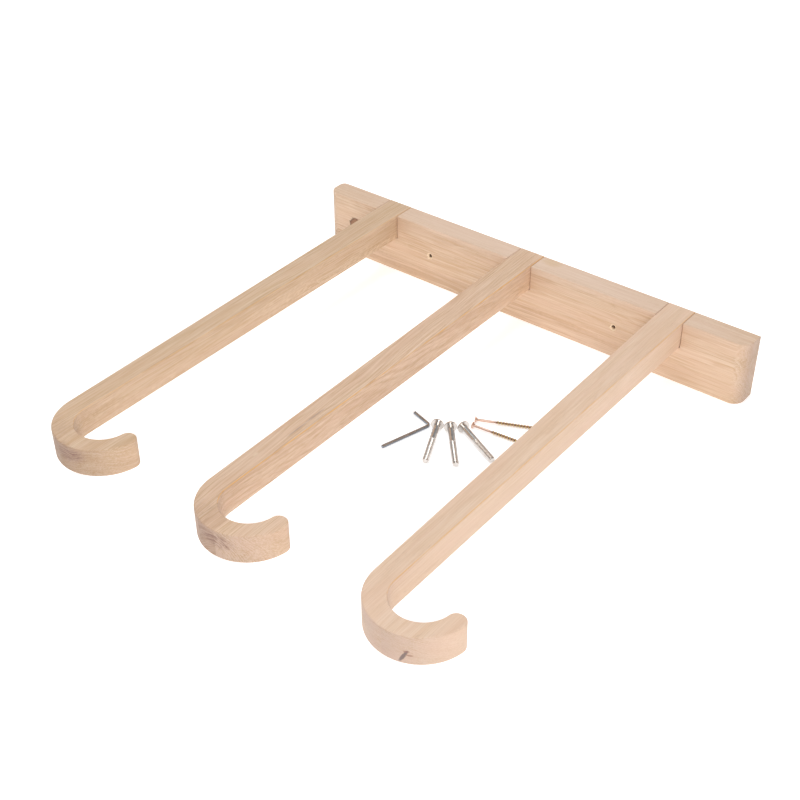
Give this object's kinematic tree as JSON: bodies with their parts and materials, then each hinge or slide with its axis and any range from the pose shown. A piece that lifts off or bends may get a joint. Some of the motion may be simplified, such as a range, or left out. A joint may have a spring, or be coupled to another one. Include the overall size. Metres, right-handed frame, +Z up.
{
  "type": "bicycle wall rack",
  "caption": "Solid oak wall rail with hooked arms notched into its top edge, for hanging bicycles, with its bolts, wall screws and hex key laid out beside it.",
  "frame": {"origin": "centre of the rail's back face, which lies on the wall", "axes": "+X along the rail, to the right as seen from the room; +Y into the wall, away from the arms; +Z up, out of the notches"},
  "size_m": [0.65, 0.6475, 0.087],
  "materials": {
    "oak_rail": "bare sanded oak, grain along the rail, matt",
    "oak_arm_1": "bare sanded oak, slightly yellower, grain along the arm, matt",
    "oak_hook_1": "bare sanded oak with end grain round the bend, matt",
    "oak_arm_2": "bare sanded oak, slightly greyer, with a darker streak, matt",
    "oak_hook_2_middle": "bare sanded oak, the darkest stave, matt",
    "oak_hook_2": "bare sanded oak with end grain round the bend, matt",
    "oak_arm_3": "bare sanded oak, the palest arm, matt",
    "oak_hook_3": "bare sanded oak with end grain and a small knot, matt",
    "zinc_insert": "zinc-plated steel, satin",
    "bright_bolt": "bright nickel-plated steel, polished shank",
    "yellow_zinc": "yellow-passivated zinc with a pink and gold tint",
    "dark_key": "dark burnished steel, semi-gloss"
  },
  "bodies": {
    "rail": {"wall_rail": "oak_rail"},
    "arm_1": {"arm_1": "oak_arm_1", "hook_1_outer_block": "oak_hook_1", "thread_insert_1": "zinc_insert"},
    "arm_2": {"arm_2": "oak_arm_2", "hook_2_middle_block": "oak_hook_2_middle", "hook_2_outer_block": "oak_hook_2", "thread_insert_2": "zinc_insert"},
    "arm_3": {"arm_3": "oak_arm_3", "hook_3_outer_block": "oak_hook_3", "thread_insert_3": "zinc_insert"},
    "bolt_1": {"joint_bolt_1": "bright_bolt"},
    "bolt_2": {"joint_bolt_2": "bright_bolt"},
    "bolt_3": {"joint_bolt_3": "bright_bolt"},
    "screw_1": {"wall_screw_1": "yellow_zinc"},
    "screw_2": {"wall_screw_2": "yellow_zinc"},
    "key": {"hex_key": "dark_key"}
  },
  "joints": [
    {"name": "arm_1_lift", "type": "slide", "parent": "rail", "child": "arm_1", "axis": [0, 0, 1], "range_m": [0, 0.045]},
    {"name": "arm_2_lift", "type": "slide", "parent": "rail", "child": "arm_2", "axis": [0, 0, 1], "range_m": [0, 0.045]},
    {"name": "arm_3_lift", "type": "slide", "parent": "rail", "child": "arm_3", "axis": [0, 0, 1], "range_m": [0, 0.045]},
    {"name": "bolt_1_pick_up", "type": "slide", "parent": "rail", "child": "bolt_1", "axis": [0, 0, 1], "range_m": [0, 0.03]},
    {"name": "bolt_2_pick_up", "type": "slide", "parent": "rail", "child": "bolt_2", "axis": [0, 0, 1], "range_m": [0, 0.03]},
    {"name": "bolt_3_pick_up", "type": "slide", "parent": "rail", "child": "bolt_3", "axis": [0, 0, 1], "range_m": [0, 0.03]},
    {"name": "screw_1_pick_up", "type": "slide", "parent": "rail", "child": "screw_1", "axis": [0, 0, 1], "range_m": [0, 0.03]},
    {"name": "screw_2_pick_up", "type": "slide", "parent": "rail", "child": "screw_2", "axis": [0, 0, 1], "range_m": [0, 0.03]},
    {"name": "key_pick_up", "type": "slide", "parent": "rail", "child": "key", "axis": [0, 0, 1], "range_m": [0, 0.03]}
  ]
}
